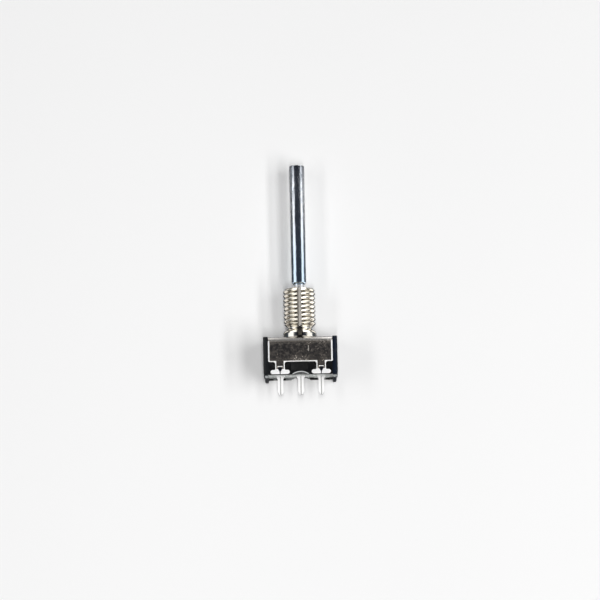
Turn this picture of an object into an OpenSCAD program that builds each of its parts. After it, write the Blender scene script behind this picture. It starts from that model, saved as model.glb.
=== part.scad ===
// Sub-miniature three-pin toggle switch with a long plain lever.
// Frame: origin on the board plane at the centre pin, +Z up the bushing axis,
// X along the row of pins, front face towards -Y. All lengths in millimetres.

/* [Case] */
// Length of the case along the pin row
case_length = 9.2; // [6:0.1:14]
// Depth of the case across the pin row
case_depth = 5.0; // [3:0.1:8]
// Height of the end walls above the board
case_height = 5.2; // [4:0.1:8]
// Thickness of the end walls
end_wall = 0.58; // [0.4:0.02:1]
// Height of the underside of the long walls above the board
rail_bottom = 0.45; // [0.2:0.05:0.8]
// Height of the rear lip's lower edge above the board
rear_lip_bottom = 0.3; // [0.15:0.05:0.45]
// Underside of the case floor
floor_bottom = 1.0; // [0.8:0.05:1.2]
// Top of the case floor
floor_top = 1.7; // [1.5:0.05:2]
// Bevel along the lower edges of the end walls
foot_bevel = 0.1; // [0.05:0.01:0.3]
// How far the feet are set in from the outer faces of the end walls
foot_inset = 0.15; // [0.05:0.01:0.25]
// Height of the feet
foot_height = 0.65; // [0.4:0.05:1]

/* [Frame] */
// Length of the bent metal frame
frame_length = 8.0; // [5:0.1:12]
// Depth over the outside of the frame
frame_depth = 5.1; // [3:0.1:8]
// Sheet thickness of the frame
sheet = 0.3; // [0.2:0.05:0.5]
// Outside radius of the two bends
bend_radius = 0.8; // [0.4:0.05:1]
// Lower edge of the frame skirt
skirt_bottom = 2.03; // [1.5:0.01:3]
// Distance between the two tabs on a face
tab_spacing = 5.1; // [3:0.1:7]
// Width of a tab's neck
tab_width = 1.16; // [0.8:0.02:1.6]
// Width of a tab's spread end
tab_head = 2.38; // [1.6:0.02:3]

/* [Bushing] */
// Outside diameter of the threaded part
thread_diameter = 4.0; // [3:0.1:6.5]
// Top of the bushing above the board
bushing_top = 11.45; // [9:0.05:16]
// Lower end of the threaded part
thread_bottom = 6.8; // [6.5:0.05:8]
// Radius of the undercut below the thread
undercut_radius = 1.47; // [1.2:0.01:1.9]
// Radius of the flange that sits on the frame
flange_radius = 2.06; // [1.9:0.01:3]
// Width of the keyway
keyway_width = 0.5; // [0.3:0.05:1.2]
// Distance from the axis to the floor of the keyway
keyway_floor = 1.52; // [1.48:0.01:1.8]

/* [Lever] */
// Top of the lever above the board
lever_top = 27.15; // [16:0.05:32]
// Radius of the lever at its top
lever_top_radius = 0.94; // [0.6:0.01:1.2]
// Radius of the lever above its shoulder
lever_low_radius = 0.9; // [0.65:0.01:1]
// Radius of the lever's ball
ball_radius = 1.1; // [1:0.01:1.3]
// Height of the lever's pivot
pivot_height = 7.8; // [7:0.05:9]
// Radius of the two bosses on the ball that the lever tilts about
boss_radius = 0.25; // [0.15:0.01:0.3]

/* [Terminals] */
// Distance between neighbouring pins
pin_pitch = 2.54; // [2:0.01:5.08]
// Width of a pin
pin_width = 0.7; // [0.5:0.05:1]
// Thickness of the terminal metal
pin_thickness = 0.35; // [0.25:0.05:0.5]
// Length of the pins below the board plane
pin_reach = 1.8; // [1.5:0.1:5]

/* [Mechanism] */
// Slope of each arm of the rocker, in degrees
rocker_slope = 10; // [8:0.5:12]
// Height of the rocker's knife edge
rocker_pivot = 2.4; // [2.2:0.05:2.6]

/* [Hidden] */
$fn = 64;
inner_length = case_length - 2 * end_wall;
half_depth = case_depth / 2;
core_half = frame_depth / 2 - sheet - 0.05;
plate_bottom = case_height - sheet;
basin_half = 1.95;
resin_bottom = 0.52;
cavity_length = 6.8;
cavity_depth = 3.2;
thread_radius = thread_diameter / 2;
tail_bottom = 4.0;
spring_turns = 7;
contact_x = 2.3;

module color_plastic() { color([0.03, 0.04, 0.06]) children(); }
module color_resin() { color([0.62, 0.64, 0.62]) children(); }
module color_nickel() { color([0.75, 0.74, 0.71]) children(); }
module color_silver() { color([0.9, 0.9, 0.88]) children(); }
module color_brass() { color([0.8, 0.68, 0.4]) children(); }
module color_nylon() { color([0.9, 0.9, 0.86]) children(); }

// A box given by its two corners.
module span(low, high) {
    translate(low) cube([high[0] - low[0], high[1] - low[1], high[2] - low[2]]);
}

// A flat outline in X and Z, pushed along Y from y0 to y1.
module plate_xz(y0, y1) {
    translate([0, y1, 0]) rotate([90, 0, 0]) linear_extrude(y1 - y0) children();
}

// A flat outline in Y and Z, pushed along X from x0 to x1.
module plate_yz(x0, x1) {
    translate([x0, 0, 0]) rotate([90, 0, 90]) linear_extrude(x1 - x0) children();
}

// ---- case ----

// One end wall with its foot, drawn at the right-hand end, bevelled along its lower edges.
module end_wall_shape() {
    b = foot_bevel;
    intersection() {
        span([inner_length / 2, -half_depth, 0], [case_length / 2, half_depth, case_height]);
        plate_xz(-half_depth, half_depth) polygon([
            [inner_length / 2, 0], [case_length / 2 - foot_inset - b, 0], [case_length / 2 - foot_inset, b],
            [case_length / 2 - foot_inset, foot_height - foot_inset], [case_length / 2, foot_height],
            [case_length / 2, case_height - 0.08], [case_length / 2 - 0.08, case_height],
            [inner_length / 2, case_height]]);
        plate_yz(inner_length / 2, case_length / 2) polygon([
            [-half_depth + b, 0], [half_depth - b, 0], [half_depth, b],
            [half_depth, case_height - 0.1], [half_depth - 0.1, case_height],
            [-half_depth + 0.1, case_height], [-half_depth, case_height - 0.1], [-half_depth, b]]);
    }
}

// Recess for one staked tab, on the front face.
module tab_recess() {
    w = tab_width / 2 + 0.04;
    h = tab_head / 2 + 0.06;
    span([-w, -half_depth - 0.1, rail_bottom - 0.1], [w, -core_half, skirt_bottom + 0.1]);
    span([-h, -half_depth - 0.1, rail_bottom - 0.1], [h, -core_half, 1.2]);
    span([-w - 0.32, -half_depth - 0.1, skirt_bottom - 0.34], [w + 0.32, -core_half, skirt_bottom + 0.1]);
}

// Shallow decorative panel and the arch in the middle of the lower wall, on the front face.
module rail_details() {
    span([-1.15, -half_depth - 0.1, 1.02], [0.85, -half_depth + 0.07, skirt_bottom + 0.1]);
    intersection() {
        span([-1.0, -half_depth - 0.1, rail_bottom - 0.1], [1.0, -basin_half + 0.1, 0.75]);
        plate_xz(-half_depth - 0.1, -basin_half + 0.1) translate([0, -0.95]) circle(r = 1.7);
    }
}

module case_body() {
    difference() {
        union() {
            for (s = [0, 1]) mirror([s, 0, 0]) end_wall_shape();
            plate_yz(-inner_length / 2 - 0.1, inner_length / 2 + 0.1) polygon([
                [-core_half, rail_bottom], [core_half, rail_bottom], [core_half, plate_bottom - 0.45],
                [core_half - 0.45, plate_bottom], [0.45 - core_half, plate_bottom], [-core_half, plate_bottom - 0.45]]);
            span([-inner_length / 2 - 0.1, -half_depth, rail_bottom], [inner_length / 2 + 0.1, half_depth, skirt_bottom - 0.02]);
        }
        span([-cavity_length / 2, -cavity_depth / 2, floor_top], [cavity_length / 2, cavity_depth / 2, plate_bottom + 0.1]);
        translate([0, 0, 4.5]) cylinder(r = 2.05, h = 1);
        span([-inner_length / 2, -basin_half, rail_bottom - 0.1], [inner_length / 2, basin_half, floor_bottom]);
        for (x = [-pin_pitch, 0, pin_pitch])
            span([x - 0.61, -pin_thickness / 2, floor_bottom - 0.1], [x + 0.61, pin_thickness / 2, floor_top + 0.1]);
        for (m = [0, 1]) rotate([0, 0, 180 * m]) {
            for (s = [-1, 1]) translate([s * tab_spacing / 2, 0, 0]) tab_recess();
            rail_details();
        }
    }
    for (s = [0, 1]) mirror([s, 0, 0]) rear_lip();
}

// Half of the lip along the rear lower edge, which leaves the middle open.
module rear_lip() {
    span([1.15, basin_half, rear_lip_bottom], [inner_length / 2 + 0.1, core_half, rail_bottom + 0.1]);
}

// ---- epoxy seal ----

module epoxy_seal_body() {
    difference() {
        span([-inner_length / 2, -basin_half, resin_bottom], [inner_length / 2, basin_half, floor_bottom]);
        for (x = [-pin_pitch, 0, pin_pitch]) translate([x, 0, 0]) terminal_blade();
    }
}

// ---- frame ----

// Outline of the bent sheet, seen along X.
module u_outline(width, top, r, bottom) {
    translate([-width / 2, bottom]) square([width, top - r - bottom]);
    translate([-width / 2 + r, top - r - 0.1]) square([width - 2 * r, r + 0.1]);
    for (s = [-1, 1]) translate([s * (width / 2 - r), top - r]) circle(r = r);
}

// Face of the skirt with its two tabs, seen along Y.
module skirt_outline() {
    r = 0.14;
    f = 0.3;
    translate([-frame_length / 2, skirt_bottom + r]) square([frame_length, 6]);
    translate([-frame_length / 2 + r, skirt_bottom]) square([frame_length - 2 * r, 1]);
    for (s = [-1, 1]) translate([s * (frame_length / 2 - r), skirt_bottom + r]) circle(r = r);
    for (s = [-1, 1]) translate([s * tab_spacing / 2, 0]) {
        translate([-tab_width / 2, 0.75]) square([tab_width, skirt_bottom - 0.7]);
        for (m = [0, 1]) mirror([m, 0]) difference() {
            translate([tab_width / 2 - 0.05, skirt_bottom - f]) square([f + 0.05, f + 0.05]);
            translate([tab_width / 2 + f, skirt_bottom - f]) circle(r = f);
        }
        translate([-tab_head / 2 + 0.26, 0.5]) square([tab_head - 0.52, 0.52]);
        for (m = [-1, 1]) translate([m * (tab_head / 2 - 0.26), 0.76]) circle(r = 0.26);
        for (m = [0, 1]) mirror([m, 0]) difference() {
            translate([tab_width / 2 - 0.05, 1.0]) square([0.21, 0.18]);
            translate([tab_width / 2 + 0.16, 1.18]) circle(r = 0.16);
        }
    }
}

// Wedge-shaped dent that spreads the end of a tab, on the front face.
module stake_dent() {
    y = frame_depth / 2;
    plate_xz(-y - 0.1, -y + 0.2) polygon([
        [-0.36, 1.27], [-0.2, 1.38], [0, 1.41], [0.2, 1.38], [0.36, 1.27],
        [0.07, 0.8], [0.045, 0.4], [-0.045, 0.4], [-0.07, 0.8]]);
}

module frame_body() {
    difference() {
        intersection() {
            plate_yz(-frame_length / 2, frame_length / 2) difference() {
                u_outline(frame_depth, case_height, bend_radius, 0.4);
                u_outline(frame_depth - 2 * sheet, plate_bottom, bend_radius - sheet, 0.3);
            }
            plate_xz(-frame_depth / 2 - 1, frame_depth / 2 + 1) skirt_outline();
        }
        translate([0, 0, plate_bottom - 1]) cylinder(r = 1.78, h = 3);
        for (m = [0, 1]) rotate([0, 0, 180 * m])
            for (s = [-1, 1]) translate([s * tab_spacing / 2, 0, 0]) stake_dent();
    }
}

// ---- bushing ----

module bushing_outline() {
    fr = flange_radius;
    polygon([
        [1.55, 4.6], [1.9, 4.6], [1.98, 4.68], [1.98, plate_bottom], [1.75, plate_bottom],
        [1.75, case_height], [fr - 0.1, case_height],
        for (a = [-90 : 15 : 0]) [fr - 0.12 + 0.12 * cos(a), case_height + 0.12 + 0.12 * sin(a)],
        for (a = [0 : 10 : 60]) [fr - 0.4 + 0.4 * cos(a), 5.78 + 0.4 * sin(a)],
        [undercut_radius + 0.12, 6.3],
        for (a = [0 : 30 : 90]) [undercut_radius + 0.12 - 0.12 * sin(a), 6.42 - 0.12 * cos(a)],
        [undercut_radius, thread_bottom - 0.25],
        [thread_radius - 0.25, thread_bottom], [thread_radius, thread_bottom + 0.25],
        [thread_radius, bushing_top - 0.24], [thread_radius - 0.24, bushing_top],
        [1.42, bushing_top], [0.95, pivot_height + 0.65], [1.17, pivot_height],
        [1.17, 6.45], [1.55, 4.8]]);
}

// Slot that a boss of the lever's ball sits in, seen along Y, open at the bottom.
module boss_slot() {
    w = boss_radius + 0.04;
    translate([-w, 4.5]) square([2 * w, pivot_height - 4.5]);
    translate([0, pivot_height]) circle(r = w);
}

module bushing_body() {
    difference() {
        rotate_extrude() bushing_outline();
        translate([0, 0, pivot_height]) sphere(r = 1.15);
        span([-keyway_width / 2, -3, 6.4], [keyway_width / 2, -keyway_floor, bushing_top + 0.1]);
        translate([-keyway_width / 2, -keyway_floor - 1, 6.4]) rotate([0, 90, 0])
            cylinder(r = 1, h = keyway_width);
        plate_xz(-1.36, 1.36) boss_slot();
    }
}

// ---- lever ----

module lever_outline() {
    polygon([
        [0, pivot_height], [0.75, pivot_height - 0.6], [0.75, tail_bottom + 0.06], [0.69, tail_bottom], [0, tail_bottom]]);
    polygon([
        [0, pivot_height], [0.6, pivot_height + 0.7], [0.6, 12.08],
        for (a = [-80 : 20 : 0]) [0.6 + (lever_low_radius - 0.6) * cos(a), 12.38 + 0.3 * sin(a)],
        [lever_top_radius, lever_top - 0.08], [lever_top_radius - 0.02, lever_top - 0.03],
        [lever_top_radius - 0.08, lever_top], [0, lever_top]]);
}

module lever_body() {
    difference() {
        union() {
            rotate_extrude() lever_outline();
            translate([0, 0, pivot_height]) sphere(r = ball_radius);
            translate([0, 1.32, pivot_height]) rotate([90, 0, 0]) cylinder(r = boss_radius, h = 2.64);
        }
        translate([0, 0, tail_bottom - 0.1]) cylinder(r = 0.46, h = 3.0);
    }
}

// ---- plunger and its spring ----

module plunger_body() {
    rotate_extrude() polygon([
        for (a = [-90 : 10 : 0]) [0.4 * cos(a), 3.03 + 0.4 * sin(a)],
        [0.4, 3.3], [0.6, 3.3], [0.65, 3.35], [0.65, 3.65], [0.6, 3.7], [0.42, 3.7],
        [0.42, 5.1], [0.38, 5.145], [0, 5.145]]);
}

// Round wire wound into a helix between two heights.
module wire_helix(radius, wire, low, high, turns) {
    steps = turns * 18;
    sides = 8;
    points = [for (i = [0 : steps], j = [0 : sides - 1])
        let (a = 360 * turns * i / steps, b = 360 * j / sides,
             q = radius + wire * cos(b), z = low + (high - low) * i / steps + wire * sin(b))
        [q * cos(a), q * sin(a), z]];
    faces = concat(
        [for (i = [0 : steps - 1], j = [0 : sides - 1])
            let (k = (j + 1) % sides)
            [i * sides + j, (i + 1) * sides + j, (i + 1) * sides + k, i * sides + k]],
        [[for (j = [0 : sides - 1]) j]],
        [[for (j = [sides - 1 : -1 : 0]) steps * sides + j]]);
    polyhedron(points = points, faces = faces, convexity = 8);
}

module plunger_spring_body() {
    wire_helix(0.35, 0.05, 5.2, 6.84, spring_turns);
}

// ---- rocker and its contact tips ----

module rocker_body() {
    t = 0.2;
    c = cos(rocker_slope);
    k = tan(rocker_slope);
    e = 2.6;
    plate_xz(-0.8, 0.8) polygon([
        [0, rocker_pivot], [e, rocker_pivot + e * k], [e - t * sin(rocker_slope), rocker_pivot + e * k + t * c],
        [0, rocker_pivot + t / c],
        [-e + t * sin(rocker_slope), rocker_pivot + e * k + t * c], [-e, rocker_pivot + e * k]]);
}

// Contact tip under one arm, drawn on the right.
module moving_contact() {
    translate([0, 0, rocker_pivot]) rotate([0, -rocker_slope, 0])
        translate([contact_x, 0, -0.15]) {
            translate([0, 0, 0.05]) cylinder(r = 0.42, h = 0.1);
            cylinder(r = 0.36, h = 0.1);
        }
}

// ---- terminals ----

// Pin and shoulders of a terminal, seen along Y.
module blade_outline() {
    w = pin_width / 2;
    polygon([
        [-0.61, 0.62], [-w, 0.16], [-w, -pin_reach + 0.35], [-w * 0.45, -pin_reach],
        [w * 0.45, -pin_reach], [w, -pin_reach + 0.35], [w, 0.16], [0.61, 0.62],
        [0.61, floor_top], [-0.61, floor_top]]);
}

module terminal_blade() {
    plate_xz(-pin_thickness / 2, pin_thickness / 2) blade_outline();
}

// Lengthwise groove pressed into both faces of a pin.
module pin_grooves() {
    for (m = [0, 1]) rotate([0, 0, 180 * m])
        span([-0.07, -pin_thickness / 2 - 0.1, -pin_reach - 0.1], [0.07, -pin_thickness / 2 + 0.07, 0.5]);
}

// Outer terminal with its pad on the floor of the case, drawn on the right.
module outer_terminal() {
    difference() {
        union() {
            translate([pin_pitch, 0, 0]) terminal_blade();
            span([1.75, -0.9, floor_top], [3.3, 0.9, floor_top + 0.3]);
        }
        translate([pin_pitch, 0, 0]) pin_grooves();
        translate([contact_x, 0, floor_top - 0.2]) cylinder(r = 0.22, h = 1);
    }
}

module center_terminal_body() {
    top = rocker_pivot - 0.02;
    difference() {
        union() {
            terminal_blade();
            span([-0.9, -1.2, floor_top], [0.9, 1.2, floor_top + 0.3]);
            span([-0.25, -0.8, floor_top], [0.25, 0.8, top - 0.1]);
            translate([0, 0.8, top - 0.12]) rotate([90, 0, 0]) cylinder(r = 0.12, h = 1.6);
            for (s = [-1, 1]) translate([0, s * 1.025, 0])
                span([-0.5, -0.175, floor_top], [0.5, 0.175, rocker_pivot + 0.75]);
        }
        pin_grooves();
    }
}

// Contact button seated in the pad of an outer terminal, drawn on the right.
module fixed_contact() {
    translate([contact_x, 0, 0]) rotate_extrude() polygon([
        [0, floor_top], [0.22, floor_top], [0.22, floor_top + 0.3], [0.45, floor_top + 0.3],
        [0.45, 2.2], [0.38, 2.27], [0, 2.27]]);
}

color_plastic() case_body();  // case
color_resin() epoxy_seal_body();  // epoxy_seal
color_nickel() frame_body();  // frame
color_nickel() bushing_body();  // bushing
color_nickel() lever_body();  // lever
color_nylon() plunger_body();  // plunger
color_silver() plunger_spring_body();  // plunger_spring
color_brass() rocker_body();  // rocker
color_silver() mirror([1, 0, 0]) moving_contact();  // left_moving_contact
color_silver() moving_contact();  // right_moving_contact
color_silver() center_terminal_body();  // center_terminal
color_silver() mirror([1, 0, 0]) outer_terminal();  // left_terminal
color_silver() outer_terminal();  // right_terminal
color_silver() mirror([1, 0, 0]) fixed_contact();  // left_fixed_contact
color_silver() fixed_contact();  // right_fixed_contact
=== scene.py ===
import math

import bpy
import numpy as np
from mathutils import Matrix, Vector


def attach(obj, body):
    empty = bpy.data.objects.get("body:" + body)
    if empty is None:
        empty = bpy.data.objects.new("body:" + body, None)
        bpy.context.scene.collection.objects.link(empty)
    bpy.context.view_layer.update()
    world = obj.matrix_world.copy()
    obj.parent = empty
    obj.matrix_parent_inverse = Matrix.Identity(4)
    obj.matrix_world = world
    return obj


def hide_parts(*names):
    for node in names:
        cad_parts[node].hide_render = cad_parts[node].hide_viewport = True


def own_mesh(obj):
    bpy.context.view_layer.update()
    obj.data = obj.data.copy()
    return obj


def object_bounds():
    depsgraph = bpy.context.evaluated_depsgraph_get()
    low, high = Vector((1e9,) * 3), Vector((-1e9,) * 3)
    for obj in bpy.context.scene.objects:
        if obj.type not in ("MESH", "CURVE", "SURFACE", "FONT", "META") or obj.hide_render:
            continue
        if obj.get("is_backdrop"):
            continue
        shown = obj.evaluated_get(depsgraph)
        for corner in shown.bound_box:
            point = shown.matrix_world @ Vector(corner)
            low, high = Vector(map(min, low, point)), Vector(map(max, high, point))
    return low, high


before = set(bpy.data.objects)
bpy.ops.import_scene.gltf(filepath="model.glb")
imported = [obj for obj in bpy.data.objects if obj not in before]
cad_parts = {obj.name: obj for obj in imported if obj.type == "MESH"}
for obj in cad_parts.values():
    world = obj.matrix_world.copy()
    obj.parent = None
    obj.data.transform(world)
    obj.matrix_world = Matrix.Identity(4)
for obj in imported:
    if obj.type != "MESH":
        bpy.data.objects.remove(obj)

MM = 0.001
scene = bpy.context.scene


def write_size(key, data={}):
    low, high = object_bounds()
    data[key] = [[round(float(v), 6) for v in low], [round(float(v), 6) for v in high]]


write_size("after_load")

# ------------------------------------------------------------------ camera

AIM = Vector((0.00009, 0.0, 0.01012))
DISTANCE = 0.400
TILT = math.radians(8.9)
ROLL = math.radians(1.15)
SENSOR = 36.0
FIELD = 0.075


def make_camera():
    data = bpy.data.cameras.new("photo_camera")
    data.sensor_fit = "HORIZONTAL"
    data.sensor_width = SENSOR
    data.lens = SENSOR * DISTANCE / FIELD
    data.clip_start = 0.01
    data.clip_end = 10.0
    cam = bpy.data.objects.new("photo_camera", data)
    scene.collection.objects.link(cam)
    back = Vector((0.0, -math.cos(TILT), -math.sin(TILT)))
    cam.location = AIM + back * DISTANCE
    look = (-back).to_track_quat("-Z", "Y").to_matrix().to_4x4()
    cam.rotation_mode = "QUATERNION"
    cam.rotation_quaternion = (look @ Matrix.Rotation(-ROLL, 4, "Z")).to_quaternion()
    scene.camera = cam
    return cam


make_camera()


# ------------------------------------------------------------------ node helpers

def new_material(name):
    m = bpy.data.materials.new(name)
    m.use_nodes = True
    m.node_tree.nodes.clear()
    return m


class Tree:
    """Short-hand for building a node tree."""

    def __init__(self, tree):
        self.tree = tree
        self.coords = None

    def node(self, kind, **settings):
        n = self.tree.nodes.new(kind)
        for key, value in settings.items():
            setattr(n, key, value)
        return n

    def put(self, socket, value):
        if isinstance(value, bpy.types.NodeSocket):
            self.tree.links.new(value, socket)
        else:
            socket.default_value = value

    def coord(self):
        if self.coords is None:
            self.coords = self.node("ShaderNodeTexCoord")
        return self.coords.outputs["Object"]

    def scaled(self, sx, sy, sz):
        n = self.node("ShaderNodeMapping")
        self.put(n.inputs["Vector"], self.coord())
        n.inputs["Scale"].default_value = (sx, sy, sz)
        return n.outputs["Vector"]

    def noise(self, vector, scale, detail=4.0, rough=0.55, distortion=0.0):
        n = self.node("ShaderNodeTexNoise")
        self.put(n.inputs["Vector"], vector)
        n.inputs["Scale"].default_value = scale
        n.inputs["Detail"].default_value = detail
        n.inputs["Roughness"].default_value = rough
        n.inputs["Distortion"].default_value = distortion
        return n.outputs["Fac"]

    def spots(self, vector, scale, feature="F1"):
        n = self.node("ShaderNodeTexVoronoi", feature=feature)
        self.put(n.inputs["Vector"], vector)
        n.inputs["Scale"].default_value = scale
        return n.outputs["Distance"]

    def ramp(self, value, low, high, a=0.0, b=1.0):
        n = self.node("ShaderNodeMapRange", clamp=True, interpolation_type="SMOOTHSTEP")
        self.put(n.inputs["Value"], value)
        for key, v in (("From Min", low), ("From Max", high), ("To Min", a), ("To Max", b)):
            n.inputs[key].default_value = v
        return n.outputs["Result"]

    def math(self, op, a, b=0.0, c=0.0, clamp=False):
        n = self.node("ShaderNodeMath", operation=op, use_clamp=clamp)
        self.put(n.inputs[0], a)
        self.put(n.inputs[1], b)
        self.put(n.inputs[2], c)
        return n.outputs[0]

    def mix(self, factor, a, b):
        n = self.node("ShaderNodeMix", data_type="RGBA")
        self.put(n.inputs[0], factor)
        for socket, v in ((n.inputs[6], a), (n.inputs[7], b)):
            self.put(socket, v if isinstance(v, bpy.types.NodeSocket) else (*v, 1.0))
        return n.outputs[2]

    def xyz(self):
        n = self.node("ShaderNodeSeparateXYZ")
        self.put(n.inputs[0], self.coord())
        return n.outputs[0], n.outputs[1], n.outputs[2]

    def soft_edges(self, radius):
        """Normals rounded over the edges within this radius, and a mask that is 1 on those edges."""
        n = self.node("ShaderNodeBevel", samples=6)
        n.inputs["Radius"].default_value = radius
        g = self.node("ShaderNodeNewGeometry")
        d = self.node("ShaderNodeVectorMath", operation="DOT_PRODUCT")
        self.put(d.inputs[0], n.outputs[0])
        self.put(d.inputs[1], g.outputs["True Normal"])
        return n.outputs[0], self.ramp(d.outputs["Value"], 0.80, 0.985, 1.0, 0.0)

    def bump(self, height, strength, distance, normal=None):
        n = self.node("ShaderNodeBump")
        self.put(n.inputs["Height"], height)
        n.inputs["Strength"].default_value = strength
        n.inputs["Distance"].default_value = distance
        if normal is not None:
            self.put(n.inputs["Normal"], normal)
        return n.outputs["Normal"]


def surface(name, build):
    """A material whose Principled shader is filled in by build(tree, shader)."""
    m = new_material(name)
    t = Tree(m.node_tree)
    out = t.node("ShaderNodeOutputMaterial")
    shader = t.node("ShaderNodeBsdfPrincipled")
    t.put(out.inputs["Surface"], shader.outputs[0])
    build(t, shader)
    return m


# ------------------------------------------------------------------ materials

def lever_chrome(t, s):
    x, y, z = t.xyz()
    worn = t.ramp(z, 0.0195, 0.0262)
    low = t.ramp(z, 0.0125, 0.0215, 1.0, 0.0)
    tip = t.ramp(z, 0.02675, 0.02695)
    neck = t.ramp(z, 0.0119, 0.0121, 1.0, 0.0)
    fine = t.noise(t.scaled(5200, 5200, 1600), 1.0, 5)
    pits = t.noise(t.scaled(3000, 3000, 900), 1.0, 4)
    broad = t.noise(t.scaled(1500, 1500, 260), 1.0, 3)
    tone = t.mix(low, (0.88, 0.90, 0.94), (0.70, 0.84, 0.98))
    tone = t.mix(neck, tone, (0.90, 0.90, 0.90))
    tone = t.mix(t.math("MULTIPLY", worn, t.ramp(pits, 0.46, 0.58)), tone, (0.42, 0.45, 0.49))
    tone = t.mix(t.ramp(z, 0.0245, 0.0266, 0.0, 0.55), tone, (0.34, 0.36, 0.40))
    tone = t.mix(t.math("MULTIPLY", tip, 0.6), tone, (0.30, 0.32, 0.34))
    t.put(s.inputs["Base Color"], tone)
    side = t.math("MULTIPLY", t.ramp(t.math("ABSOLUTE", x), 0.00055, 0.00080), t.ramp(z, 0.0150, 0.0250))
    side = t.math("MULTIPLY", side, t.ramp(pits, 0.35, 0.60, 0.15, 0.55))
    cloudy = t.math("MULTIPLY", neck, t.ramp(pits, 0.35, 0.60, 0.35, 0.85))
    t.put(s.inputs["Metallic"], t.math("SUBTRACT", 1.0, t.math("MAXIMUM", side, cloudy)))
    rough = t.math("ADD", t.ramp(fine, 0.3, 0.7, 0.07, 0.15), t.math("MULTIPLY", worn, t.ramp(pits, 0.4, 0.6, 0.03, 0.13)))
    t.put(s.inputs["Roughness"], rough)
    h = t.math("ADD", broad, t.math("MULTIPLY", t.math("MULTIPLY", pits, worn), 0.25))
    t.put(s.inputs["Normal"], t.bump(h, 0.55, 0.00008))


def bushing_nickel(t, s):
    x, y, z = t.xyz()
    fine = t.noise(t.scaled(4200, 4200, 4200), 1.0, 4)
    broad = t.noise(t.scaled(900, 900, 900), 1.0, 3)
    thread = t.ramp(z, 0.00655, 0.0069)
    in_slot = t.math("MULTIPLY", t.ramp(t.math("ABSOLUTE", x), 0.00024, 0.00026, 1.0, 0.0), t.ramp(y, -0.00156, -0.00150, 0.0, 1.0))
    in_slot = t.math("MULTIPLY", in_slot, t.math("MULTIPLY", t.ramp(y, -0.0014, -0.0013, 1.0, 0.0), thread))
    radius = t.math("SQRT", t.math("ADD", t.math("MULTIPLY", x, x), t.math("MULTIPLY", y, y)))
    # painted shade: the thread roots are painted dark brown where shade falls deep in the grooves
    root_painted_shade = t.math("MULTIPLY", t.ramp(radius, 0.00178, 0.00186, 1.0, 0.0), thread)
    root_painted_shade = t.math("MULTIPLY", root_painted_shade, t.math("SUBTRACT", 1.0, in_slot))
    crest = t.math("MULTIPLY", t.ramp(radius, 0.00192, 0.00198), thread)
    # painted shade: a dark line along the keyway's left wall
    slot_wall_painted_shade = t.math("MULTIPLY", t.ramp(x, -0.00012, -0.00006, 1.0, 0.0), in_slot)
    tone = t.mix(t.ramp(broad, 0.3, 0.7), (0.94, 0.90, 0.82), (0.86, 0.82, 0.73))
    tone = t.mix(t.math("MULTIPLY", root_painted_shade, 0.85), tone, (0.22, 0.185, 0.13))
    # painted light: the keyway floor is painted darker on its left and paler on its right
    tone = t.mix(in_slot, tone, t.mix(t.ramp(x, -0.0001, 0.00024), (0.68, 0.64, 0.58), (0.92, 0.88, 0.82)))
    tone = t.mix(slot_wall_painted_shade, tone, (0.07, 0.06, 0.045))
    # painted shade: the keyway's run-out at the foot of the thread is painted dark
    slot_end_painted_shade = t.math("MULTIPLY", t.ramp(t.math("ABSOLUTE", x), 0.00032, 0.00050, 1.0, 0.0), t.ramp(z, 0.0064, 0.0068, 1.0, 0.0))
    slot_end_painted_shade = t.math("MULTIPLY", slot_end_painted_shade, t.ramp(y, -0.0012, -0.0009, 1.0, 0.0))
    tone = t.mix(t.math("MULTIPLY", slot_end_painted_shade, 0.85), tone, (0.05, 0.045, 0.04))
    t.put(s.inputs["Base Color"], tone)
    dull = t.math("MAXIMUM", t.math("MULTIPLY", crest, 0.2), t.math("MULTIPLY", in_slot, 0.88))
    t.put(s.inputs["Metallic"], t.math("SUBTRACT", 1.0, dull))
    rough = t.math("ADD", t.ramp(fine, 0.3, 0.7, 0.09, 0.15), t.math("MULTIPLY", dull, 0.4))
    t.put(s.inputs["Roughness"], rough)
    t.put(s.inputs["Normal"], t.bump(fine, 0.2, 0.000004))


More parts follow.
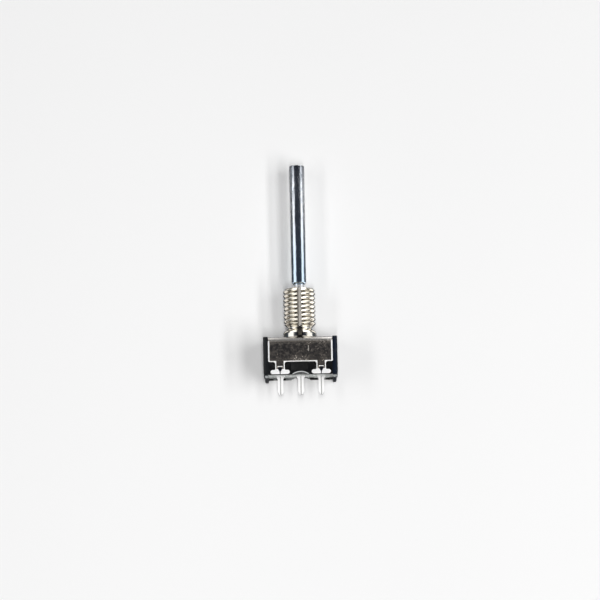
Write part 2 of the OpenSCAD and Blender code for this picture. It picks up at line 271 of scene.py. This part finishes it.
def frame_tin(t, s):
    x, y, z = t.xyz()
    fine = t.noise(t.scaled(4500, 4500, 4500), 1.0, 5, 0.6)
    broad = t.noise(t.scaled(800, 800, 800), 1.0, 4)
    across = t.math("ABSOLUTE", x)
    depth = t.math("ABSOLUTE", y)
    from_tab = t.math("ABSOLUTE", t.math("SUBTRACT", across, 0.00255))
    outer = t.ramp(depth, 0.00249, 0.00253)
    side_rim = t.ramp(across, 0.00379, 0.00386)
    low_rim = t.math("MULTIPLY", t.ramp(z, 0.00211, 0.00217, 1.0, 0.0), t.ramp(from_tab, 0.00043, 0.00049))
    head = t.ramp(z, 0.00108, 0.00118, 1.0, 0.0)
    lip = t.math("MULTIPLY", t.ramp(t.math("ABSOLUTE", t.math("SUBTRACT", z, 0.00145)), 0.00003, 0.00006, 1.0, 0.0),
                 t.ramp(from_tab, 0.00028, 0.00034, 1.0, 0.0))
    # painted highlight: pale lines on the sheet's side and lower edges, the tab heads and the lip above the dent,
    # where the rounded edges catch the light
    rim = t.math("MAXIMUM", t.math("MAXIMUM", side_rim, low_rim), t.math("MAXIMUM", head, lip))
    rim = t.math("MULTIPLY", rim, outer)
    bend_line = t.ramp(t.math("ABSOLUTE", t.math("SUBTRACT", z, 0.00436)), 0.00002, 0.00006, 1.0, 0.0)
    # painted shade: the inside of the V dents in the tabs is painted dark
    dent_painted_shade = t.math("MULTIPLY", t.ramp(z, 0.00143, 0.00146, 1.0, 0.0), t.math("SUBTRACT", 1.0, outer))
    dent_painted_shade = t.math("MULTIPLY", dent_painted_shade, t.ramp(from_tab, 0.0004, 0.00045, 1.0, 0.0))
    # dull tin: a paler worn patch low in the middle, small specks, one short scratch
    middle = t.math("MULTIPLY", t.ramp(z, 0.0021, 0.0031, 1.0, 0.0), t.ramp(across, 0.0006, 0.0016, 1.0, 0.25))
    patch = t.math("MULTIPLY", middle, t.ramp(fine, 0.38, 0.62, 0.35, 1.0))
    specks = t.ramp(t.noise(t.scaled(2300, 2300, 2300), 1.0, 2), 0.56, 0.68)
    stains = t.ramp(t.noise(t.scaled(1900, 1900, 1500), 1.0, 3), 0.42, 0.62)
    line_x = t.ramp(t.math("ABSOLUTE", t.math("SUBTRACT", x, 0.00101)), 0.00002, 0.00007, 1.0, 0.0)
    line_z = t.ramp(t.math("ABSOLUTE", t.math("SUBTRACT", z, 0.00368)), 0.00030, 0.00042, 1.0, 0.0)
    scratch = t.math("MULTIPLY", line_x, line_z)
    worn = t.math("MAXIMUM", t.math("MULTIPLY", patch, 0.16), t.math("MULTIPLY", specks, 0.06))
    worn = t.math("MAXIMUM", worn, t.math("MULTIPLY", scratch, 0.35))
    worn = t.math("MAXIMUM", worn, t.math("MULTIPLY", bend_line, 0.06))
    worn = t.math("MAXIMUM", worn, t.ramp(fine, 0.45, 0.75, 0.0, 0.06))
    rounded, edge = t.soft_edges(0.00010)
    tone = t.mix(t.ramp(broad, 0.3, 0.7), (0.76, 0.66, 0.55), (0.60, 0.53, 0.45))
    tone = t.mix(t.math("MULTIPLY", stains, 0.35), tone, (0.40, 0.35, 0.31))
    tone = t.mix(t.ramp(z, 0.0043, 0.0048), tone, (0.50, 0.485, 0.475))
    tone = t.mix(dent_painted_shade, tone, (0.10, 0.11, 0.14))
    # painted highlight on the rims, mixed with the paler worn marks
    tone = t.mix(t.math("MAXIMUM", rim, worn), tone, (0.95, 0.95, 0.95))
    t.put(s.inputs["Base Color"], tone)
    dull = t.math("MAXIMUM", t.math("MULTIPLY", rim, 0.75), worn)
    t.put(s.inputs["Metallic"], t.math("SUBTRACT", 1.0, dull))
    rough = t.math("ADD", t.ramp(fine, 0.3, 0.7, 0.16, 0.26), t.math("MULTIPLY", dull, 0.3))
    t.put(s.inputs["Roughness"], rough)
    t.put(s.inputs["Normal"], t.bump(fine, 0.07, 0.00001, rounded))


def silver(t, s):
    x, y, z = t.xyz()
    fine = t.noise(t.scaled(5000, 5000, 2500), 1.0, 5)
    broad = t.noise(t.scaled(1200, 1200, 700), 1.0, 3)
    # painted shade: darker through the middle of the pin's thickness below 0.5 mm
    pin_painted_shade = t.ramp(t.math("ABSOLUTE", y), 0.00012, 0.00016, 1.0, 0.0)
    pin_painted_shade = t.math("MULTIPLY", pin_painted_shade, t.ramp(z, 0.0005, 0.0006, 1.0, 0.0))
    tone = t.mix(t.ramp(broad, 0.35, 0.7), (1.0, 1.0, 1.0), (0.94, 0.94, 0.93))
    tone = t.mix(pin_painted_shade, tone, (0.50, 0.50, 0.49))
    t.put(s.inputs["Base Color"], tone)
    s.inputs["Metallic"].default_value = 0.04
    s.inputs["Specular IOR Level"].default_value = 0.25
    t.put(s.inputs["Roughness"], t.ramp(fine, 0.3, 0.7, 0.32, 0.45))
    t.put(s.inputs["Normal"], t.bump(fine, 0.3, 0.00001))


def case_plastic(t, s):
    x, y, z = t.xyz()
    fine = t.noise(t.scaled(6000, 6000, 6000), 1.0, 5)
    broad = t.noise(t.scaled(1300, 1300, 900), 1.0, 4)
    wall = t.ramp(t.math("ABSOLUTE", x), 0.0039, 0.00405)
    tone = t.mix(t.ramp(x, -0.0046, 0.0046), (0.0075, 0.0085, 0.0095), (0.0012, 0.0042, 0.0120))
    tone = t.mix(wall, (0.0030, 0.0032, 0.0040), tone)
    tone = t.mix(t.ramp(broad, 0.52, 0.68, 0.0, 0.5), tone, (0.016, 0.017, 0.019))
    # painted highlight: a pale line round the edge of the arch over the centre terminal
    low = t.math("ADD", z, 0.00095)
    reach = t.math("SQRT", t.math("ADD", t.math("MULTIPLY", x, x), t.math("MULTIPLY", low, low)))
    edge = t.math("MULTIPLY", t.ramp(t.math("ABSOLUTE", t.math("SUBTRACT", reach, 0.00173)), 0.00003, 0.00008, 1.0, 0.0),
                  t.ramp(t.math("ABSOLUTE", y), 0.00242, 0.00246))
    edge = t.math("MULTIPLY", edge, t.ramp(t.math("ABSOLUTE", x), 0.00095, 0.00105, 1.0, 0.0))
    tone = t.mix(edge, tone, (0.60, 0.62, 0.62))
    # painted highlight: a pale mottled band low on the front of the end walls; pale patches low on the back rail are
    # added to it below
    painted_foot_highlight_and_rail_patches = t.math("MULTIPLY", t.ramp(y, -0.00246, -0.00242, 1.0, 0.0), t.ramp(z, 0.00027, 0.00036, 1.0, 0.0))
    painted_foot_highlight_and_rail_patches = t.math("MULTIPLY", painted_foot_highlight_and_rail_patches, t.math("MULTIPLY", wall, t.ramp(fine, 0.35, 0.60, 0.55, 1.0)))
    spots = t.math("MULTIPLY", t.ramp(y, 0.00188, 0.00193), t.ramp(z, 0.00046, 0.00054, 1.0, 0.0))
    spots = t.math("MULTIPLY", spots, t.ramp(t.noise(t.scaled(1100, 400, 400), 1.0, 2), 0.50, 0.58, 0.0, 0.6))
    painted_foot_highlight_and_rail_patches = t.math("MAXIMUM", painted_foot_highlight_and_rail_patches, spots)
    tone = t.mix(painted_foot_highlight_and_rail_patches, tone, (0.36, 0.38, 0.38))
    t.put(s.inputs["Base Color"], tone)
    s.inputs["Specular IOR Level"].default_value = 0.35
    t.put(s.inputs["Roughness"], t.ramp(fine, 0.3, 0.7, 0.28, 0.42))
    t.put(s.inputs["Normal"], t.bump(t.math("ADD", fine, broad), 0.35, 0.00002))


def seal_resin(t, s):
    x, y, z = t.xyz()
    fine = t.noise(t.scaled(3200, 3200, 3200), 1.0, 3)
    broad = t.noise(t.scaled(1500, 900, 900), 1.0, 3)
    across = t.math("ABSOLUTE", x)
    # painted shade: blotchy dark towards the back of the seal's underside, and dark in the arch over the centre
    # terminal
    rear_painted_shade = t.math("MULTIPLY", t.ramp(y, 0.0008, 0.0012), t.ramp(broad, 0.40, 0.48))
    arch_painted_shade = t.math("MULTIPLY", t.ramp(across, 0.0009, 0.0011, 1.0, 0.0), t.ramp(y, -0.0014, -0.0010, 1.0, 0.0))
    resin_painted_shade = t.math("MAXIMUM", t.math("MULTIPLY", rear_painted_shade, 0.75), t.math("MULTIPLY", arch_painted_shade, 0.88))
    tone = t.mix(t.ramp(fine, 0.42, 0.58), (0.97, 0.99, 0.98), (0.46, 0.49, 0.47))
    tone = t.mix(resin_painted_shade, tone, (0.03, 0.033, 0.036))
    t.put(s.inputs["Base Color"], tone)
    t.put(s.inputs["Roughness"], t.ramp(fine, 0.3, 0.7, 0.3, 0.5))
    t.put(s.inputs["Normal"], t.bump(t.math("ADD", fine, broad), 0.4, 0.00003))


def nylon(t, s):
    fine = t.noise(t.scaled(5000, 5000, 5000), 1.0, 4)
    t.put(s.inputs["Base Color"], t.mix(fine, (0.72, 0.70, 0.62), (0.84, 0.82, 0.76)))
    t.put(s.inputs["Roughness"], t.ramp(fine, 0.3, 0.7, 0.4, 0.55))


def spring_wire(t, s):
    s.inputs["Metallic"].default_value = 1.0
    fine = t.noise(t.scaled(9000, 9000, 9000), 1.0, 4)
    t.put(s.inputs["Base Color"], t.mix(fine, (0.50, 0.50, 0.50), (0.66, 0.66, 0.66)))
    t.put(s.inputs["Roughness"], t.ramp(fine, 0.3, 0.7, 0.2, 0.32))


def rocker_strip(t, s):
    s.inputs["Metallic"].default_value = 1.0
    fine = t.noise(t.scaled(1200, 9000, 9000), 1.0, 4)
    t.put(s.inputs["Base Color"], t.mix(fine, (0.84, 0.72, 0.42), (0.74, 0.61, 0.34)))
    t.put(s.inputs["Roughness"], t.ramp(fine, 0.3, 0.7, 0.22, 0.36))


LOOKS = {
    "case": surface("case_plastic", case_plastic),
    "epoxy_seal": surface("seal_resin", seal_resin),
    "frame": surface("frame_tin", frame_tin),
    "lever": surface("lever_chrome", lever_chrome),
    "plunger": surface("plunger_nylon", nylon),
    "plunger_spring": surface("spring_wire", spring_wire),
    "rocker": surface("rocker_strip", rocker_strip),
}
SILVER = surface("terminal_silver", silver)
NICKEL = surface("bushing_nickel", bushing_nickel)

for name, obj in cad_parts.items():
    obj.data.materials.clear()
    obj.data.materials.append(LOOKS.get(name, SILVER))


# ------------------------------------------------------------------ rounded edges on the CAD pieces

def round_edges(name, width, segments=3, angle=35):
    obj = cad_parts[name]
    weld = obj.modifiers.new("weld", "WELD")
    weld.merge_threshold = 0.000002
    bevel = obj.modifiers.new("bevel", "BEVEL")
    bevel.width = width
    bevel.segments = segments
    bevel.limit_method = "ANGLE"
    bevel.angle_limit = math.radians(angle)
    bevel.harden_normals = False
    for poly in obj.data.polygons:
        poly.use_smooth = True
    return obj


# ------------------------------------------------------------------ bushing with its helical thread

PITCH = 0.535
THREAD_R, THREAD_DEPTH = 2.0, 0.24
TOP, THREAD_LOW = 11.45, 6.8
SLOT_HALF, SLOT_FLOOR = 0.25, 1.52
BOSS_SLOT_HALF, BOSS_SLOT_REACH, BOSS_SLOT_TOP = 0.31, 1.36, 8.09
NECK = 1.47
FLANGE = 2.06


def slot_floor(z):
    """Distance of the keyway's floor from the axis at height z, or None where there is no keyway."""
    if z >= 6.4:
        return SLOT_FLOOR
    if z > 5.4:
        return SLOT_FLOOR + 1.0 - math.sqrt(max(0.0, 1.0 - (z - 6.4) ** 2))
    return None


def outer_profile():
    """Stations of the outside from the bottom of the swaged rim up to where the thread starts: (radius, height)."""
    p = [(1.9, 4.6), (1.98, 4.68), (1.98, 4.9), (1.75, 4.9), (1.75, 5.2), (FLANGE - 0.12, 5.2)]
    p += [(FLANGE - 0.12 + 0.12 * math.cos(math.radians(a)), 5.32 + 0.12 * math.sin(math.radians(a)))
          for a in range(-75, 1, 15)]
    p += [(FLANGE, z) for z in (5.45, 5.55, 5.66)]
    p += [(FLANGE - 0.4 + 0.4 * math.cos(math.radians(a)), 5.78 + 0.4 * math.sin(math.radians(a)))
          for a in range(0, 61, 6)]
    e = NECK + 0.12
    p += [(FLANGE - 0.2 - (FLANGE - 0.2 - e) * k / 5, 6.13 + 0.17 * k / 5) for k in range(1, 5)]
    p += [(e - 0.12 * math.sin(math.radians(a)), 6.42 - 0.12 * math.cos(math.radians(a))) for a in range(0, 91, 15)]
    p += [(NECK, 6.5), (NECK, THREAD_LOW - 0.25)]
    return p


def thread_rows():
    steps = int((TOP - THREAD_LOW) / PITCH * 24)
    return [THREAD_LOW - 0.25 + (TOP - THREAD_LOW + 0.25) * k / steps for k in range(1, steps + 1)]


def thread_limit(z):
    """Largest radius the blank has at height z, from its end bevels."""
    low = NECK + (z - (THREAD_LOW - 0.25)) * 1.06
    high = THREAD_R - 0.24 + (TOP - z)
    return min(THREAD_R, low, high)


def thread_radius(z, turn):
    u = (z / PITCH - turn) % 1.0
    u = min(u, 1.0 - u) * 2.0
    return THREAD_R - THREAD_DEPTH * u ** 1.25


def inner_radius(r, z, phi):
    """The bore, with the two slots that the bosses of the lever's ball sit in."""
    if z <= BOSS_SLOT_TOP and abs(r * math.sin(phi)) <= BOSS_SLOT_HALF:
        return max(r, BOSS_SLOT_REACH / abs(math.cos(phi)))
    return r


INNER = [(1.42, TOP), (1.185, 9.95), (0.95, 8.449)]
INNER += [(1.15 * math.cos(math.radians(a)), 7.8 + 1.15 * math.sin(math.radians(a))) for a in range(30, -1, -6)]
INNER += [(1.17, 7.79), (1.17, 6.45), (1.55, 4.8), (1.55, 4.6)]


def build_bushing():
    """The slot walls need their own corner points, so the floor is inset as two extra columns."""
    arc, slot = 150, 4
    rows = [("plain", r, z) for r, z in outer_profile()]
    rows += [("thread", None, z) for z in thread_rows()]
    rows += [("inner", r, z) for r, z in INNER]
    verts, faces = [], []
    width = arc + 1 + slot + 1
    for kind, r0, z in rows:
        floor = slot_floor(z) if kind != "inner" else None

        def radius(phi):
            if kind == "inner":
                return inner_radius(r0, z, phi)
            if kind == "plain":
                return r0
            return min(thread_limit(z), thread_radius(z, phi / (2 * math.pi)))

        edge = far = math.asin(min(0.9, SLOT_HALF / 1.7))
        if kind != "inner":
            for _ in range(4):
                edge = math.asin(SLOT_HALF / radius(edge))
                far = math.asin(SLOT_HALF / radius(2 * math.pi - far))
        for k in range(arc + 1):
            phi = edge + (2 * math.pi - edge - far) * k / arc
            r = radius(phi)
            verts.append((r * math.sin(phi), -r * math.cos(phi), z))
        for k in range(slot + 1):
            phi = -far + (edge + far) * k / slot
            r = radius(phi % (2 * math.pi))
            if kind == "inner":
                verts.append((r * math.sin(phi), -r * math.cos(phi), z))
                continue
            x = -SLOT_HALF + 2 * SLOT_HALF * k / slot
            y = math.sqrt(max(0.0, r * r - x * x))
            if floor is not None:
                y = min(y, floor)
            verts.append((x, -y, z))
    n = len(rows)
    for i in range(n):
        j = (i + 1) % n
        for k in range(width):
            m = (k + 1) % width
            faces.append((i * width + k, i * width + m, j * width + m, j * width + k))
    mesh = bpy.data.meshes.new("bushing_threaded")
    mesh.from_pydata([(x * MM, y * MM, z * MM) for x, y, z in verts], [], faces)
    mesh.validate()
    mesh.update()
    import bmesh
    bm = bmesh.new()
    bm.from_mesh(mesh)
    bmesh.ops.remove_doubles(bm, verts=bm.verts, dist=1e-7)
    bmesh.ops.recalc_face_normals(bm, faces=bm.faces)
    bm.to_mesh(mesh)
    bm.free()
    for p in mesh.polygons:
        p.use_smooth = True
    mesh.set_sharp_from_angle(angle=math.radians(50))
    obj = bpy.data.objects.new("bushing_threaded", mesh)
    scene.collection.objects.link(obj)
    mesh.materials.append(NICKEL)
    return obj


bushing = build_bushing()
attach(bushing, "housing")
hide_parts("bushing")

# bright metal and pale resin would throw patches of light on the floor beside them
bushing.visible_diffuse = False
for name in ("epoxy_seal", "left_terminal", "center_terminal", "right_terminal"):
    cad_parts[name].visible_diffuse = False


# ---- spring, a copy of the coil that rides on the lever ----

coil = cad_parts["plunger_spring"]
spring = bpy.data.objects.new("plunger_spring_coil", coil.data.copy())
scene.collection.objects.link(spring)
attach(spring, "lever")
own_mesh(spring)
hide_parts("plunger_spring")

round_edges("frame", 0.00009)
round_edges("case", 0.00005, 2)


# ------------------------------------------------------------------ floor, backdrop and light

def floor_material():
    m = new_material("pale_floor")
    t = Tree(m.node_tree)
    out = t.node("ShaderNodeOutputMaterial")
    diffuse = t.node("ShaderNodeBsdfDiffuse")
    n = t.noise(t.scaled(60, 60, 60), 1.0, 3)
    x, y, z = t.xyz()
    plain = t.mix(n, (0.858, 0.858, 0.858), (0.868, 0.868, 0.868))
    # painted light: the floor is paler towards the left, evening out the lamps that stand on the right
    t.put(diffuse.inputs["Color"], t.mix(t.ramp(x, -0.025, 0.02, 1.0, 0.0), plain, (0.885, 0.885, 0.885)))
    clear = t.node("ShaderNodeBsdfTransparent")
    side = t.node("ShaderNodeNewGeometry")
    mix = t.node("ShaderNodeMixShader")
    t.put(mix.inputs[0], side.outputs["Backfacing"])
    t.put(mix.inputs[1], diffuse.outputs[0])
    t.put(mix.inputs[2], clear.outputs[0])
    t.put(out.inputs["Surface"], mix.outputs[0])
    return m


def only_seen_by_camera(obj):
    obj.visible_diffuse = False
    obj.visible_glossy = False
    obj.visible_transmission = False
    obj.visible_volume_scatter = False
    obj.visible_shadow = False


def make_floor():
    """The surface that the switch lies on with the back of its frame."""
    half, y = 0.35, 2.56 * MM
    mesh = bpy.data.meshes.new("floor")
    mesh.from_pydata([(-half, y, -half), (half, y, -half), (half, y, half), (-half, y, half)], [], [(0, 1, 2, 3)])
    mesh.update()
    if mesh.polygons[0].normal.y > 0:
        mesh.flip_normals()
    obj = bpy.data.objects.new("floor", mesh)
    scene.collection.objects.link(obj)
    mesh.materials.append(floor_material())
    obj.visible_glossy = False
    obj.visible_shadow = False
    obj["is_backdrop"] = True
    return obj


def make_dome():
    """A plain pale surround, seen only behind the floor."""
    import bmesh
    bm = bmesh.new()
    bmesh.ops.create_uvsphere(bm, u_segments=48, v_segments=24, radius=0.8)
    mesh = bpy.data.meshes.new("surround")
    bm.to_mesh(mesh)
    bm.free()
    m = new_material("pale_surround")
    t = Tree(m.node_tree)
    out = t.node("ShaderNodeOutputMaterial")
    glow = t.node("ShaderNodeEmission")
    n = t.noise(t.scaled(3, 3, 3), 1.0, 2)
    t.put(glow.inputs["Color"], t.mix(n, (0.90, 0.90, 0.90), (0.93, 0.93, 0.93)))
    t.put(out.inputs["Surface"], glow.outputs[0])
    mesh.materials.append(m)
    obj = bpy.data.objects.new("surround", mesh)
    scene.collection.objects.link(obj)
    only_seen_by_camera(obj)
    obj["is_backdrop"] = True


def make_world():
    """Studio surroundings laid out on the plane that a reflecting ball in front of the camera shows:
    across = sideways, rise = up and down, both 0 for what lies straight in front of the object."""
    world = bpy.data.worlds.new("studio")
    scene.world = world
    world.use_nodes = True
    world.node_tree.nodes.clear()
    t = Tree(world.node_tree)
    out = t.node("ShaderNodeOutputWorld")
    back = t.node("ShaderNodeBackground")
    coords = t.node("ShaderNodeTexCoord")
    split = t.node("ShaderNodeSeparateXYZ")
    t.put(split.inputs[0], coords.outputs["Generated"])
    depth = t.math("MAXIMUM", t.math("SUBTRACT", 1.0, split.outputs[1]), 0.02)
    across = t.math("DIVIDE", t.math("ABSOLUTE", split.outputs[0]), depth)
    rise = t.math("DIVIDE", split.outputs[2], depth)
    beside = t.math("MULTIPLY", across, t.ramp(split.outputs[0], -0.05, 0.05, 1.0, 0.87))
    inward = t.math("MULTIPLY", across, t.ramp(split.outputs[0], -0.05, 0.05, 1.0, 1.35))

    def by(value, low, high, stops):
        """Colour by value, given as (value, colour) stops between low and high."""
        n = t.node("ShaderNodeValToRGB")
        t.put(n.inputs[0], t.math("DIVIDE", t.math("SUBTRACT", value, low), high - low))
        n.color_ramp.interpolation = "LINEAR"
        e = n.color_ramp.elements
        e[0].position, e[0].color = (stops[0][0] - low) / (high - low), (*stops[0][1], 1)
        e[1].position, e[1].color = (stops[-1][0] - low) / (high - low), (*stops[-1][1], 1)
        for at, colour in stops[1:-1]:
            e.new((at - low) / (high - low)).color = (*colour, 1)
        return n.outputs[0]

    level = by(beside, 0.0, 3.0, [
        (0.0, (0.030, 0.033, 0.042)), (0.35, (0.030, 0.037, 0.052)), (0.47, (1.15, 1.17, 1.2)), (0.90, (1.15, 1.18, 1.22)),
        (1.04, (0.03, 0.045, 0.075)), (3.0, (0.03, 0.04, 0.06))])
    below = by(across, 0.0, 3.0, [
        (0.0, (0.25, 0.24, 0.22)), (0.08, (0.35, 0.34, 0.32)), (0.12, (1.6, 1.58, 1.52)), (0.46, (1.6, 1.58, 1.52)),
        (0.55, (0.05, 0.045, 0.035)), (0.95, (0.05, 0.045, 0.035)), (1.12, (0.90, 0.87, 0.85)), (3.0, (0.85, 0.83, 0.80))])
    above = by(across, 0.0, 3.0, [
        (0.0, (0.05, 0.05, 0.05)), (0.14, (0.06, 0.06, 0.06)), (0.24, (1.3, 1.3, 1.28)), (0.70, (1.3, 1.3, 1.28)),
        (0.84, (0.05, 0.055, 0.06)), (3.0, (0.05, 0.055, 0.06))])
    middle = by(rise, -2.0, 4.0, [
        (-2.0, (0.60, 0.59, 0.56)), (-1.0, (0.50, 0.49, 0.46)), (-0.5, (0.12, 0.115, 0.11)), (-0.3, (0.032, 0.032, 0.036)),
        (0.14, (0.032, 0.032, 0.036)), (0.32, (0.19, 0.185, 0.18)), (0.5, (0.30, 0.295, 0.29)), (0.74, (0.36, 0.355, 0.35)),
        (1.08, (0.42, 0.415, 0.41)), (1.8, (0.60, 0.595, 0.59)), (4.0, (0.62, 0.615, 0.61))])
    tilted = t.mix(t.math("MULTIPLY", t.ramp(rise, -0.1, 0.1), t.ramp(rise, 0.75, 0.95, 1.0, 0.0)), below, above)
    tilted = t.mix(t.math("MULTIPLY", t.ramp(inward, 0.08, 0.18), t.ramp(rise, 1.35, 1.75, 1.0, 0.0)), middle, tilted)
    flat = t.ramp(t.math("ABSOLUTE", rise), 0.13, 0.22, 1.0, 0.0)
    seen = t.mix(flat, tilted, level)
    t.put(back.inputs["Color"], t.mix(t.ramp(split.outputs[1], 0.75, 0.92), seen, (0.03, 0.035, 0.045)))
    key_side = t.math("MULTIPLY", t.ramp(split.outputs[0], -0.05, 0.05), t.ramp(inward, 0.16, 0.26))
    key_side = t.math("MULTIPLY", key_side, t.math("MULTIPLY", t.math("SUBTRACT", 1.0, flat), t.ramp(rise, 1.35, 1.75, 1.0, 0.0)))
    t.put(back.inputs["Strength"], t.math("ADD", 1.0, t.math("MULTIPLY", key_side, 0.8)))
    t.put(out.inputs["Surface"], back.outputs[0])
    # the surroundings show in the metal; the lamps below light everything else
    world.cycles_visibility.diffuse = False


def area(name, place, size, power, aim=(0, 0, 0.010), glossy=False, colour=(1, 1, 1)):
    data = bpy.data.lights.new(name, "AREA")
    data.shape = "RECTANGLE"
    data.size, data.size_y = size
    data.energy = power
    data.color = colour
    obj = bpy.data.objects.new(name, data)
    scene.collection.objects.link(obj)
    obj.location = place
    direction = Vector(aim) - Vector(place)
    obj.rotation_mode = "QUATERNION"
    obj.rotation_quaternion = direction.to_track_quat("-Z", "Y")
    obj.visible_glossy = glossy
    return obj


make_floor()
make_dome()
make_world()
area("key_far", (0.348, -0.358, -0.07), (0.05, 0.45), 0.812)
area("key_near", (0.240, -0.439, -0.07), (0.10, 0.45), 0.870)
area("fill_left", (-0.34, -0.37, 0.0), (0.08, 0.40), 0.455)
area("front", (0.006, -0.5, -0.072), (0.06, 0.28), 1.315)
area("rear_left", (-0.30, 0.35, 0.15), (0.3, 0.3), 0.6)
area("rear_right", (0.30, 0.35, 0.15), (0.3, 0.3), 0.6)

scene.view_settings.view_transform = "Standard"
scene.view_settings.look = "None"
scene.view_settings.exposure = 0.0
scene.view_settings.gamma = 1.0

write_size("before_finish")
